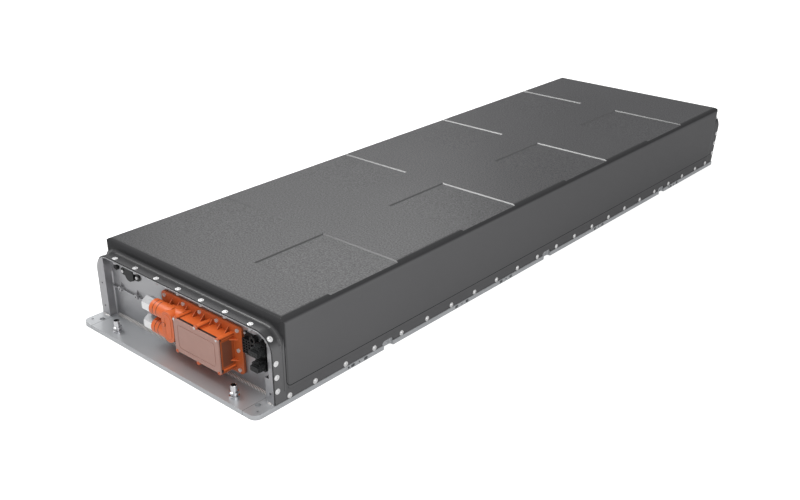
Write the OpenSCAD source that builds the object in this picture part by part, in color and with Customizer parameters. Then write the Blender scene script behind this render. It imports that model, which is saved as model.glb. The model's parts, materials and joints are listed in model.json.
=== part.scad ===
// Traction battery pack: a flat cooled base, two end frames and a moulded cover over eight cell modules.
// Millimetres. X is the width, Y the length with the connector end at -Y, Z up from the underside.

/* [Base] */
// Length of the base plate
base_l = 2219; // [1800:1:2800]
// Width of the base plate
base_w = 680; // [640:2:760]
// Thickness of the base plate
plate_t = 12; // [10:0.5:16]
// Length of the shelf in front of the cover
shelf_l = 60; // [50:1:90]
// Corner radius of the shelf
shelf_r = 20; // [8:1:30]
// Width of each side rail
rail_w = 43; // [40:0.5:50]
// Height of the rail's upstand above the plate
upstand_h = 24; // [20:1:30]
// Thickness of the rail's upstand
upstand_t = 12; // [9:0.5:14]
// Gap along the joint of rail and cold plate
joint_gap = 0.3; // [0.1:0.1:0.8]

/* [Cooling] */
// Depth of the coolant channels
channel_d = 6; // [4:0.5:7]
// Width of the ribs between the coolant channels
channel_rib = 14; // [8:1:24]
// Thickness of the sheet that closes the channels
sheet_t = 2; // [1:0.5:3]
// Bore of the coolant nipples
port_bore = 12.5; // [8:0.5:13]
// Outer diameter of the coolant nipples
port_d = 16; // [15:0.5:20]
// Height of the coolant nipples above the shelf
port_h = 31; // [26:1:40]
// Distance of the left nipple from the base's left edge
port_left_in = 120; // [100:1:160]
// Distance of the right nipple from the base's right edge
port_right_in = 101; // [100:1:160]
// Distance of the nipples from the front edge of the shelf
port_in = 27; // [20:1:34]

/* [Cover] */
// Height of the cover's top above the underside
cover_h = 216.5; // [214:0.5:240]
// Wall of the cover
cover_wall = 1.6; // [1.5:0.1:2.5]
// Height of the screw band's top above the underside
band_h = 187.5; // [184:0.5:192]
// Corner radius of the screw band
band_r = 50; // [40:1:60]
// How far the raised part stands out beside the band
side_step = 2; // [1:0.5:4]
// Width of the screw band at each end
band_d = 35; // [32:1:45]
// Radius of the long top edges
top_r = 20; // [10:1:26]
// Radius of the edges at the cover's ends
end_r = 14; // [8:1:18]
// Radius of the fillet between the screw band and the raised part
valley_r = 10; // [4:1:14]
// Height of the side panel's lower edge above the underside
panel_z = 37; // [34:1:50]
// Depth of the recessed pads in the top
pad_depth = 3; // [1:0.5:4]
// Length of one recessed pad
pad_l = 236; // [150:1:240]
// Distance between pads along the cover
pad_pitch = 488.5; // [400:0.5:500]
// Centre of the first pad from the cover's front edge
pad_first = 306; // [250:1:330]
// Distance of the pads from the middle line
pad_in = 70; // [40:1:120]

/* [Fasteners] */
// Pitch of the side screws
side_pitch = 100; // [80:5:150]
// Distance of the first side screw from the cover's edge
side_first = 45; // [40:1:60]
// Distance of the last side screw from the cover's rear edge
side_last = 54; // [45:1:70]
// Distance of the side screws above the plate
side_up = 7; // [7:0.5:9]
// Distance of the end screws from the cover's edge
end_in = 10.5; // [9:0.5:12]
// Number of screws across the top of each end
top_screws = 7; // [3:1:9]
// Distance between the outer screws across the top
top_span = 520; // [400:10:540]
// Diameter of the screw shanks
screw_d = 6; // [4:0.5:6]
// Diameter of the screw heads
head_d = 14; // [12:0.5:14]
// Height of the screw heads
head_h = 3.2; // [2:0.1:4]
// Thickness of the cover's seal
seal_t = 0.9; // [0.8:0.1:2]

/* [End frames] */
// Depth of the recess behind the rim
recess_d = 23; // [21:0.5:26]
// Thickness of the end wall
wall_t = 8; // [6:0.5:10]
// Thickness of the rim at the top
rim_t = 2; // [2:0.5:5]
// Distance of the cover's edges behind the faces of the end frames
cover_back = 2.5; // [1:0.5:3]
// Backward lean of the rear end in degrees
rear_lean = 12; // [0:0.5:14]
// Width of the post beside the vent
post_wide = 33; // [26:1:36]
// Width of the post beside the signal sockets
post_slim = 12; // [12:1:16]
// Width of that post's foot
post_foot = 25; // [22:1:30]
// Height of the step in that post above the underside
post_step = 77; // [70:1:95]

/* [High-voltage box] */
// Distance of the flange's middle from the post beside the signal sockets
hv_in = 255; // [252:1:262]
// Height of the flange's middle above the underside
hv_z = 96.5; // [94:0.5:100]
// Width of the flange
hv_flange_w = 300; // [290:1:306]
// Height of the flange
hv_flange_h = 124; // [120:1:128]
// Thickness of the flange
hv_flange_t = 5; // [4:0.5:6]
// Width of the lid
hv_lid_w = 166; // [150:1:176]
// Height of the lid
hv_lid_h = 88; // [80:1:92]
// Distance of the lid's back from the end wall
hv_depth = 49; // [46:0.5:54]
// Thickness of the lid
hv_lid_t = 3.5; // [3:0.5:5]
// Outer diameter of the cable outlets
outlet_d = 41; // [38:0.5:43]
// Distance between the two cable outlets
outlet_pitch = 50; // [47:0.5:52]
// Bore of the gland nuts
gland_bore = 14; // [10:0.5:14.5]
// Size of the gland nuts across their flats
gland_af = 34; // [30:0.5:36]
// Length of the gland nuts
gland_l = 34; // [28:1:40]

/* [Modules] */
// Length of the electronics bay in front of the modules
bay_l = 118; // [110:1:140]
// Gap between the cells of neighbouring modules
module_gap = 14.25; // [10:0.25:20]
// Thickness of a cell
cell_t = 48; // [30:0.5:48]
// Length of a cell
cell_l = 230; // [180:1:232]
// Height of a cell
cell_h = 175; // [120:1:176]
// Thickness of the thermal pads
thermal_t = 2; // [1:0.5:3]

/* [Hidden] */
$fn = 48;
eps = 0.5;
fit = 0.15;

// The rear end's faces move back by this much from the plate up to height z
function lean(z) = (z - plate_t) * tan(rear_lean);

seat_h = band_h - cover_wall - seal_t;
front_y = -(base_l + lean(seat_h)) / 2;
rear_y = front_y + base_l;
cover_y0 = front_y + shelf_l;
cover_y1 = rear_y;
cover_l = cover_y1 - cover_y0;
reach = cover_l + 200;
plate_half = base_w / 2 - rail_w;
band_w = base_w - 2 * side_step;
raised_y0 = cover_y0 + band_d;
raised_y1 = cover_y1 - band_d;
seat_w = band_w - 2 * (cover_wall + seal_t);
seat_r = band_r - cover_wall - seal_t;
wall_y0 = cover_y0 + recess_d;
wall_y1 = wall_y0 + wall_t;
rear_wall_y = cover_y1 - (recess_d + wall_t) / cos(rear_lean);
wide_x = -seat_w / 2 + post_wide;
slim_x = seat_w / 2 - post_slim;
upstand_x = seat_w / 2 - upstand_t;

// Screw places, all on the cover's outer face
run = cover_l - side_first - side_last;
end_step = 80;
side_n = round((run - 2 * end_step) / side_pitch);
side_step_y = (run - 2 * end_step) / side_n;
side_y = concat([cover_y0 + side_first],
    [for (i = [0:side_n]) cover_y0 + side_first + end_step + i * side_step_y],
    [cover_y1 - side_last]);
side_z = plate_t + side_up;
post_z = [45.5, 81, 116.5];
top_x = [for (i = [0:top_screws - 1]) top_span * (i / (top_screws - 1) - 0.5)];
shank_l = 13;

// Edge fittings of the side rails
notch_y = [for (share = [0.1737, 0.4979, 0.8221]) cover_y0 + share * cover_l];
notch_w = 34;
notch_d = 11;
notch_r = 5;
slot_groups = [for (share = [0.1253, 0.3099, 0.4025, 0.6327, 0.8636]) cover_y0 + share * cover_l];
lead_hole = 37;
slot_pitch = 45;
slot_w = 8;
slot_l = 13;
slot_d = 14;
tie_x = base_w / 2 - 34;
tie_in = 38.5;
tie_d = 14;
pin_x = base_w / 2 - 15;
pin_in = 21;
pin_d = 6.5;
port_x = [-base_w / 2 + port_left_in, base_w / 2 - port_right_in];
port_y = front_y + port_in;
ring_r = port_d / 2 + 1;
ring_w = 2.2;
ring_h = 1.8;
sheet_in = 12;
lane_x0 = 40;
lane_w = (plate_half - sheet_in - 5 - lane_x0) / 3;

// High-voltage box
hv_x = slim_x - hv_in;
flange_seal_t = 1;
flange_y = wall_y0 - flange_seal_t - hv_flange_t;
lid_back = wall_y0 - hv_depth;
lid_seal_t = 1;
box_front = lid_back + lid_seal_t;
lid_x = hv_x + 39;
lid_z = hv_z - 4;
box_wall = 3;
cavity_w = hv_lid_w - 12 - 2 * box_wall;
cavity_h = hv_lid_h - 12 - 2 * box_wall;
lid_screws = [for (s = [-1, 1], t = [-1, 0, 1])
    [lid_x + t * (hv_lid_w / 2 - 5), lid_z + s * (hv_lid_h / 2 - 1.5 + (t == 0 ? 4 : 0))]];
flange_dx = hv_flange_w / 2 - 14;
flange_dz = hv_flange_h / 2 - 10;
flange_screws = concat([for (s = [-1, 1]) [hv_x + s * flange_dx, hv_z]],
    [for (s = [-1, 1], u = [-1, -0.46, 0, 0.46, 1]) [hv_x + u * flange_dx, hv_z + s * flange_dz]]);
outlet_y = wall_y0 - 30.5;
outlet_z = [hv_z + 2 + outlet_pitch / 2, hv_z + 2 - outlet_pitch / 2];
flange_left = hv_x - hv_flange_w / 2;
outlet_end = flange_left + 7;
outlet_bore = 24;
cap_x = lid_x - hv_lid_w / 2 - 26;
cap_r = 23;
cap_front = lid_back - 3;
cap_t = 3;
cap_z = hv_z + 4.5;
bead_r = 9;
foot_bead_r = 2.5;
corner_r = 4;

// Signal sockets, vent and plug
header_x = hv_x + hv_flange_w / 2 + 27;
header_z = 124;
header_w = 46;
header_h = 58;
lug_dx = 18;
lug_dz = 26;
dome_dx = 15;
dome_dz = 21;
socket_x = slim_x - 26;
socket_z = [138, 100.5];
valve_x = wide_x + 87;
valve_z = 154;
valve_d = 37;
valve_pitch = 61;
plug_x = wide_x + 26;
plug_z = 158;
plug_d = 20;
boss_x = [wide_x + 37, wide_x + 107.5];
boss_z = 98;
seam_gap = [hv_x + 99, hv_x + 106];
rim_hole_z = [105, 38.5];
rim_hole_in = 16;

// Modules, counted from the front: as many as the space up to the rear wall takes
bay_y0 = wall_y1 + 4;
bay_y1 = bay_y0 + bay_l;
pack_y0 = bay_y1 + 4;
module_pitch = cell_l + module_gap;
modules = floor((rear_wall_y - 8 - pack_y0) / module_pitch + 0.01);
module_y = [for (i = [0:modules - 1]) pack_y0 + (i + 0.5) * module_pitch];
foot_l = 16;
foot_h = 12;
foot_out = upstand_x - 4;
end_plate_t = 15;
cells = 2 * floor((foot_out - foot_l - end_plate_t) / cell_t + 0.01);
row_w = cells * cell_t;
end_plate_out = row_w / 2 + end_plate_t;
cell_z = plate_t + thermal_t;
cell_top = cell_z + cell_h;
pole_d = 16;
pole_h = 3;
pole_dy = 75;
link_t = 3;
link_top = cell_top + pole_h + link_t;
end_plate_top = link_top + 1;
bolt_d = 8;
bolt_x = foot_out - foot_l / 2;
bolt_dy = 90;

// Electronics bay between the front wall and the first module
tray_t = 3;
tray_half = upstand_x - 22;
tray_top = plate_t + tray_t;
stud_dx = 30;
contactor_x = [lid_x - stud_dx, lid_x + stud_dx];
contactor_y = bay_y0 + 45;
contactor_h = 75;
pole_in = 16;
bar_z = tray_top + contactor_h + 4;
bar_w = 24;
bar_t = 4;
stud_z = lid_z - 14;
block_y = lid_back + 8;
block_t = 12;
lead_x = (row_w - cell_t) / 2;
lead_y = bay_y1 + 1;
over_z = end_plate_top + 2.3;
fuse_x = [-lead_x, -lead_x + 100];
fuse_z = tray_top + 36;
sensor_x = fuse_x[1] + 74;
sensor_w = 40;
step_in = 115;
step_x = sensor_x + step_in;
unit_w = 110;
unit_x = tray_half - 10 - unit_w / 2;

// A flat profile drawn in X and Z, or Y and Z, and drawn out along the other axis
module along_y(y0, y1) translate([0, y1, 0]) rotate([90, 0, 0]) linear_extrude(y1 - y0) children();
module along_x(x0, x1) translate([x0, 0, 0]) rotate([90, 0, 90]) linear_extrude(x1 - x0) children();

module round_rect(w, h, r) {
    square([w, h - 2 * r], center = true);
    square([w - 2 * r, h], center = true);
    for (sx = [-1, 1], sy = [-1, 1]) translate([sx * (w / 2 - r), sy * (h / 2 - r)]) circle(r);
}

module stadium(l, w) {
    square([l - w, w], center = true);
    for (s = [-1, 1]) translate([s * (l - w) / 2, 0]) circle(w / 2);
}

// A gate-shaped profile: square feet at z0, round shoulders of radius r at z1
module arch(w, z0, z1, r) {
    translate([-w / 2, z0]) square([w, z1 - r - z0]);
    translate([-w / 2 + r, z0]) square([w - 2 * r, z1 - z0]);
    for (s = [-1, 1]) translate([s * (w / 2 - r), z1 - r]) circle(r);
}

// Every place here has its own +Z pointing out of the cover
module at_side_screws(sides = [-1, 1]) {
    for (s = sides, y = side_y) translate([s * band_w / 2, y, side_z]) rotate([0, s * 90, 0]) children();
}

function end_y(front, z) = front ? cover_y0 + end_in : cover_y1 + lean(z) - end_in;

module at_shoulders(front) for (s = [-1, 1])
    translate([s * (band_w / 2 - band_r), end_y(front, band_h - band_r * (1 - cos(45))), band_h - band_r])
        rotate([0, s * 45, 0]) children();

module at_end_screws(front) {
    for (s = [-1, 1], z = post_z)
        translate([s * band_w / 2, end_y(front, z), z]) rotate([0, s * 90, 0]) children();
    for (x = top_x) translate([x, end_y(front, band_h), band_h]) children();
    at_shoulders(front) translate([0, 0, band_r]) children();
}

// The space between two planes parallel to the leaning rear face, from y0 to y1 behind it
module leaning(y0, y1) translate([0, cover_y1, plate_t]) rotate([-rear_lean, 0, 0])
    translate([-base_w, y0, -base_w]) cube([2 * base_w, y1 - y0, 2 * base_w]);

module hole(d, depth) translate([0, 0, -depth]) cylinder(d = d, h = depth + 8);

module button_screw(l) {
    difference() {
        union() {
            cylinder(d = head_d, h = head_h * 0.35);
            cylinder(d1 = head_d * 0.8, d2 = head_d * 0.5, h = head_h, $fn = 36);
        }
        translate([0, 0, head_h * 0.4]) cylinder(d = screw_d * 0.75, h = head_h, $fn = 6);
    }
    translate([0, 0, -l]) cylinder(d = screw_d, h = l);
}

// A screw whose head faces the front, for the parts on the end wall
module cap_screw(d, l, head) {
    rotate([90, 0, 0]) {
        difference() {
            cylinder(d = head, h = d * 0.7);
            translate([0, 0, d * 0.25]) cylinder(d = d * 0.8, h = d, $fn = 6);
        }
        translate([0, 0, -l]) cylinder(d = d, h = l);
    }
}

module drill_y(x, z, d, y0, y1) translate([x, y1, z]) rotate([90, 0, 0]) cylinder(d = d, h = y1 - y0);

// Base plate and rails

module cold_plate() color("silver") {
    channel_w = lane_w - channel_rib;
    deep = sheet_t + channel_d;
    y0 = port_y - 8;
    y1 = rear_y - 24;
    header_l = 40;
    difference() {
        translate([-plate_half + joint_gap / 2, front_y, 0])
            cube([2 * plate_half - joint_gap, base_l, plate_t]);
        translate([-plate_half + sheet_in, front_y + 10, -eps])
            cube([2 * (plate_half - sheet_in), base_l - 20, sheet_t + eps]);
        // Three lanes out from the left nipple and three back to the right one
        for (s = [-1, 1], i = [0:2]) translate([s * (lane_x0 + (i + 0.5) * lane_w) - channel_w / 2, y0, 0])
            cube([channel_w, y1 - y0, deep]);
        for (s = [-1, 1]) translate([s > 0 ? lane_x0 : -lane_x0 - 3 * lane_w, y0, 0])
            cube([3 * lane_w, header_l, deep]);
        translate([-lane_x0 - 3 * lane_w, y1 - header_l, 0])
            cube([2 * lane_x0 + 6 * lane_w, header_l, deep]);
        for (x = port_x) translate([x, port_y, 0]) {
            cylinder(d = port_bore, h = plate_t + eps);
            translate([0, 0, plate_t - 3]) cylinder(d = port_d + 2 * fit, h = 3 + eps);
        }
    }
}

module channel_sheet() color("gainsboro")
    translate([-plate_half + sheet_in + fit, front_y + 10 + fit, 0])
        cube([2 * (plate_half - sheet_in - fit), base_l - 20 - 2 * fit, sheet_t]);

// The right rail, with its outer edge at +X
module rail() {
    difference() {
        union() {
            difference() {
                translate([plate_half + joint_gap / 2, front_y, 0])
                    cube([rail_w - joint_gap / 2, base_l, plate_t]);
                translate([base_w / 2 - shelf_r, front_y - eps, -eps])
                    cube([shelf_r + eps, shelf_r + eps, plate_t + 2 * eps]);
            }
            translate([base_w / 2 - shelf_r, front_y + shelf_r, 0]) cylinder(r = shelf_r, h = plate_t);
            translate([upstand_x, wall_y1 + fit, plate_t - eps])
                cube([upstand_t, rear_wall_y - wall_y1 - 2 * fit, upstand_h + eps]);
        }
        for (y = notch_y) edge_notch(y);
        for (y = slot_groups) translate([base_w / 2 + eps, y, plate_t / 2]) rotate([90, 0, -90]) {
            for (s = [-1, 1]) translate([s * slot_pitch / 2, 0, 0])
                linear_extrude(slot_d + eps) stadium(slot_l, slot_w);
            cylinder(d = 5, h = slot_d);
        }
        for (i = [0, 4]) translate([base_w / 2 + eps, slot_groups[i] - lead_hole, plate_t / 2])
            rotate([0, -90, 0]) cylinder(d = 6.5, h = slot_d);
        translate([tie_x, front_y + tie_in, -eps]) cylinder(d = tie_d, h = plate_t + 2 * eps);
        translate([pin_x, front_y + pin_in, -eps]) cylinder(d = pin_d, h = plate_t + 2 * eps);
        at_side_screws([1]) hole(screw_d + 0.2, shank_l + 2);
        for (y = module_y, s = [-1, 1]) translate([bolt_x, y + s * bolt_dy, 3])
            cylinder(d = bolt_d + 0.2, h = plate_t);
    }
}

module edge_notch(y) {
    translate([base_w / 2 - notch_d + notch_r, y - notch_w / 2, -eps])
        cube([notch_d, notch_w, plate_t + 2 * eps]);
    translate([base_w / 2 - notch_d, y - notch_w / 2 + notch_r, -eps])
        cube([notch_d, notch_w - 2 * notch_r, plate_t + 2 * eps]);
    for (s = [-1, 1]) translate([base_w / 2 - notch_d + notch_r, y + s * (notch_w / 2 - notch_r), -eps])
        cylinder(r = notch_r, h = plate_t + 2 * eps);
    translate([seat_w / 2 + 1, y, plate_t - eps]) cylinder(r = 6, h = 11);
}

module side_rail_right() color("silver") rail();
module side_rail_left() color("silver") mirror([1, 0, 0]) rail();

// End frames

module frame_blank(y0, y1) along_y(y0, y1) arch(seat_w, plate_t, seat_h, seat_r);
module end_space(left, right) along_y(rear_wall_y, cover_y1 + 2 * lean(seat_h)) recess_profile(left, right);

// The recess, wide from left to right, with plain or stepped posts
module recess_profile(left, right) {
    top = seat_h - rim_t;
    r = seat_r - rim_t;
    half = seat_w / 2;
    intersection() {
        translate([-half + left, plate_t - eps]) square([2 * half - left - right, top]);
        arch(seat_w - 2 * rim_t, plate_t - eps, top, r);
    }
}

module rim_bosses(front) {
    for (x = top_x) translate([x, end_y(front, band_h), seat_h - rim_t - 9]) cylinder(d = 13, h = 10);
    at_shoulders(front) translate([0, 0, seat_r - rim_t - 8]) cylinder(d = 13, h = 9);
}

module wall_boss(x, z) {
    drill_y(x, z, 15, wall_y0 - 8, wall_y0 + eps);
    // Gusset that rises from the boss to the wall
    translate([x - 1.2, 0, 0]) along_x(0, 2.4)
        polygon([[wall_y0 - 7, z + 4], [wall_y0 + eps, z + 4],
            [wall_y0 + eps, z + 17], [wall_y0 - 1, z + 17]]);
}

module front_end_frame() color("lightgray") {
    difference() {
        union() {
            difference() {
                frame_blank(cover_y0, wall_y1);
                along_y(cover_y0 - eps, wall_y0) {
                    recess_profile(post_wide, post_foot);
                    intersection() {
                        recess_profile(post_wide, post_slim);
                        translate([-seat_w / 2, post_step]) square([seat_w, seat_h]);
                    }
                }
            }
            rim_bosses(true);
            for (s = [-1, 1]) translate([s > 0 ? slim_x : wide_x, wall_y0, plate_t])
                linear_extrude(seat_h - seat_r - plate_t) difference() {
                    translate([s > 0 ? -corner_r : -eps, -corner_r]) square(corner_r + eps);
                    translate([-s * corner_r, -corner_r]) circle(corner_r);
                }
            for (x = boss_x) wall_boss(x, boss_z);
            translate([wide_x - eps, wall_y0 - 6, boss_z - 1.2])
                cube([flange_left - wide_x - 1, 6 + eps, 2.4]);
        }
        at_end_screws(true) hole(screw_d + 0.2, shank_l - 1);
        for (x = boss_x) drill_y(x, boss_z, 5, wall_y0 - 10, wall_y0 + 4);
        for (z = rim_hole_z) drill_y(-seat_w / 2 + rim_hole_in, z, 5, cover_y0 - eps, cover_y0 + 14);
        drill_y(seat_w / 2 - 10, rim_hole_z[1], 5, cover_y0 - eps, cover_y0 + 14);
        // Openings behind the box, the sockets, the vent and the plug
        along_y(wall_y0 - eps, wall_y1 + eps) {
            translate([hv_x, hv_z]) round_rect(2 * flange_dx - 40, 2 * flange_dz - 26, 10);
            translate([header_x, header_z]) round_rect(header_w - 14, header_h - 12, 3);
            for (z = socket_z) translate([socket_x, z]) round_rect(22, 14, 2);
        }
        drill_y(valve_x, valve_z, 22, wall_y0 - eps, wall_y1 + eps);
        drill_y(plug_x, plug_z, 12.2, wall_y0 - eps, wall_y1 + eps);
        for (p = flange_screws) drill_y(p[0], p[1], 5.2, wall_y0 - eps, wall_y1 + eps);
        for (s = [-1, 1]) {
            drill_y(valve_x + s * valve_pitch / 2, valve_z, 4.2, wall_y0 - eps, wall_y1 - 1);
            drill_y(header_x - lug_dx, header_z + s * lug_dz, 3.2, wall_y0 - eps, wall_y1 - 1);
        }
    }
}

module rear_end_frame() color("lightgray") difference() {
    intersection() {
        frame_blank(rear_wall_y, cover_y1 + 2 * lean(seat_h));
        leaning(-recess_d - wall_t, 0);
    }
    difference() {
        intersection() {
            end_space(post_wide, post_wide);
            leaning(-recess_d, recess_d);
        }
        rim_bosses(false);
        // Stiffening ribs across the plain wall
        intersection() {
            leaning(-recess_d, 8 - recess_d);
            union() {
                translate([-seat_w / 2, rear_wall_y, boss_z - 1.5]) cube([seat_w, reach, 3]);
                for (x = [-150, 0, 150]) translate([x - 1.5, rear_wall_y, plate_t + bead_r + 3])
                    cube([3, reach, seat_h]);
            }
        }
    }
    at_end_screws(false) hole(screw_d + 0.2, shank_l - 1);
    for (s = [-1, 1], z = rim_hole_z) translate([s * (seat_w / 2 - rim_hole_in), cover_y1 + lean(z), z])
        rotate([90 - rear_lean, 0, 0]) translate([0, 0, -5]) cylinder(d = 5, h = 19);
}

// Fillet beads along the feet of the end walls and posts
module bead_run(x0, x1, y, s, r) along_x(x0, x1) translate([y, plate_t]) intersection() {
    circle(r);
    translate([s > 0 ? 0 : -r, 0]) square(r);
}

module weld_seams() color("gainsboro") {
    foot_x = seat_w / 2 - post_foot;
    bead_run(wide_x + corner_r, seam_gap[0], wall_y0, -1, bead_r);
    bead_run(seam_gap[1], foot_x, wall_y0, -1, bead_r);
    difference() {
        bead_run(wide_x + 2, -wide_x - 2, cover_y1 - recess_d / cos(rear_lean), 1, bead_r);
        leaning(-recess_d - wall_t, -recess_d);
    }
    bead_run(-seat_w / 2 + 3, -seat_w / 2 + post_wide - 3, cover_y0, -1, foot_bead_r);
    bead_run(foot_x + 3, seat_w / 2 - 3, cover_y0, -1, foot_bead_r);
}

// Cover

// Side view of the raised part, inset by t: its rear side leans and all four corners are rounded
module raised_profile(t) {
    r = end_r - t;
    low = panel_z + end_r;
    high = cover_h - end_r;
    y0 = raised_y0 + end_r;
    in = end_r / cos(rear_lean);
    ends = [[raised_y1 + lean(low) - in, low], [raised_y1 + lean(high) - in, high]];
    out = r * [cos(rear_lean), -sin(rear_lean)];
    polygon([[y0 - r, low], [y0, low - r], ends[0] - [0, r], ends[0] + out, ends[1] + out, ends[1] + [0, r],
        [y0, high + r], [y0 - r, high]]);
    for (p = [[y0, low], [y0, high], ends[0], ends[1]]) translate(p) circle(r);
}

module raised_form(t) intersection() {
    along_y(raised_y0 + t, cover_y1 + lean(cover_h))
        arch(base_w - 2 * t, panel_z + t, cover_h - t, top_r - t);
    along_x(-base_w / 2, base_w / 2) raised_profile(t);
    translate([0, raised_y0 + t + reach / 2, 0]) linear_extrude(cover_h + eps)
        round_rect(base_w - 2 * t, reach, end_r - t);
    translate([0, raised_y1, plate_t]) rotate([-rear_lean, 0, 0]) translate([0, -t - reach / 2, -base_w])
        linear_extrude(2 * base_w) round_rect(base_w - 2 * t, reach, end_r - t);
}

// Hollow fillet that leads from the front screw band up into the raised part
module valley_fillet(t) {
    r = valley_r + t;
    ball_y = raised_y0 - valley_r;
    ball_x = band_w / 2 - band_r;
    turn = 18;
    difference() {
        intersection() {
            along_y(ball_y, raised_y0 + t + eps)
                arch(band_w + 2 * valley_r, panel_z, band_h + valley_r, band_r + valley_r);
            along_y(ball_y, raised_y0 + t + eps) arch(base_w - 2 * t, panel_z, cover_h - t, top_r - t);
        }
        translate([-ball_x, ball_y, band_h + valley_r]) rotate([0, 90, 0]) cylinder(r = r, h = 2 * ball_x);
        for (s = [-1, 1]) {
            translate([s * (band_w / 2 + valley_r), ball_y, 0]) cylinder(r = r, h = band_h - band_r);
            // Straight steps of the ball's path round the shoulder
            for (a = [turn / 2:turn:90]) translate([s * ball_x, ball_y, band_h - band_r])
                rotate([0, s * a, 0]) translate([-turn / 2 - 2, 0, band_r + valley_r])
                    rotate([0, 90, 0]) cylinder(r = r, h = turn + 4);
        }
    }
}

// Recessed pads that run out over the sides, with walls that slope at 45 degrees
module pad_cuts(t) {
    low = cover_h - pad_depth - t;
    out = t * sqrt(2);
    span = [low - cover_h, eps];
    last = floor((cover_l - pad_first - pad_l / 2 - band_d) / pad_pitch);
    difference() {
        for (s = [-1, 1], i = [0:last]) intersection() {
            translate([0, cover_y0 + pad_first + i * pad_pitch, cover_h]) along_x(-base_w, base_w)
                polygon([for (p = [[-1, 1], [-1, 0], [1, 0], [1, 1]])
                    [p[0] * (pad_l / 2 + span[p[1]] + out), span[p[1]]]]);
            along_y(cover_y0, cover_y1) polygon([for (p = [[0, 1], [0, 0], [1, 0], [1, 1]])
                [s * (p[0] > 0 ? base_w : pad_in - span[p[1]] - out), cover_h + span[p[1]]]]);
        }
        along_y(cover_y0, cover_y1) arch(base_w - 2 * t, 0, low, top_r - t);
    }
}

module cover_form(t) {
    over = t > 0 ? eps : 0;
    difference() {
        union() {
            raised_form(t);
            valley_fillet(t);
            intersection() {
                along_y(cover_y0 + cover_back - over, cover_y1 + lean(cover_h))
                    arch(band_w - 2 * t, plate_t - over, band_h - t, band_r - t);
                leaning(-reach, over - cover_back);
            }
        }
        pad_cuts(t);
    }
}

module top_cover() color("dimgray") {
    difference() {
        cover_form(0);
        cover_form(cover_wall);
        at_side_screws() hole(screw_d + 1, cover_wall + 1);
        for (front = [true, false]) at_end_screws(front) hole(screw_d + 1, cover_wall + 1);
        for (s = [-1, 1], y = notch_y) translate([s * band_w / 2, y, plate_t])
            rotate([90, 0, s * 90]) translate([0, 0, -8]) linear_extrude(16) stadium(notch_w + 8, 20);
    }
}

module seal_ring(y0, y1) difference() {
    along_y(y0, y1) arch(seat_w + 2 * seal_t, plate_t, seat_h + seal_t, seat_r + seal_t);
    along_y(y0 - eps, y1 + eps) arch(seat_w, plate_t - eps, seat_h, seat_r);
}

module cover_seal() color("black") {
    difference() {
        union() {
            seal_ring(cover_y0 + cover_back, cover_y0 + recess_d);
            intersection() {
                seal_ring(cover_y1 - 2 * recess_d, cover_y1 + lean(cover_h));
                leaning(-recess_d, -cover_back);
            }
            for (s = [-1, 1])
                translate([s * (seat_w + seal_t) / 2 - seal_t / 2, cover_y0 + cover_back, plate_t])
                    cube([seal_t, cover_l - 2 * cover_back - eps, upstand_h - 2]);
        }
        at_side_screws() hole(screw_d + 0.6, cover_wall + seal_t + 1);
        for (front = [true, false]) at_end_screws(front) hole(screw_d + 0.6, cover_wall + seal_t + 1);
        for (s = [-1, 1], y = notch_y) translate([s * band_w / 2, y, plate_t])
            rotate([90, 0, s * 90]) translate([0, 0, -8]) linear_extrude(16) stadium(notch_w + 8, 20);
    }
}

module cover_screws() color("white") {
    at_side_screws() button_screw(shank_l);
    for (front = [true, false]) at_end_screws(front) button_screw(shank_l - 2);
}

// Coolant nipples

module coolant_port(x) translate([x, port_y, plate_t]) {
    r = port_d / 2;
    rotate_extrude($fn = 64) difference() {
        polygon([[0, -3], [r, -3], [r, 0], [12.5, 0], [12.5, 4], [r, 5], [r, 8], [11, 9], [11, 14],
            [r, 15], [r, port_h - 1], [r - 0.8, port_h], [0, port_h]]);
        translate([-eps, -3 - eps]) square([port_bore / 2 + eps, port_h + 3 + 2 * eps]);
        translate([ring_r, -eps]) square([ring_w, ring_h + eps]);
    }
}

module coolant_port_left() color("white") coolant_port(port_x[0]);
module coolant_port_right() color("white") coolant_port(port_x[1]);

module port_seals() color("black") for (x = port_x) translate([x, port_y, plate_t])
    rotate_extrude() translate([ring_r + fit, 0]) square([ring_w - 2 * fit, ring_h - fit]);

// High-voltage box and its cable outlets

module hv_outline() translate([hv_x, hv_z]) round_rect(hv_flange_w, hv_flange_h, 12);
module lid_outline(grow) translate([lid_x, lid_z])
    round_rect(hv_lid_w + grow, hv_lid_h + grow, 6 + grow / 2);
module all_flange_screws() for (p = flange_screws) translate([p[0], flange_y, p[1]]) children();

module cap_outline(grow) translate([cap_x, cap_z]) rotate(90) stadium(82 + grow, 2 * cap_r + grow);

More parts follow.
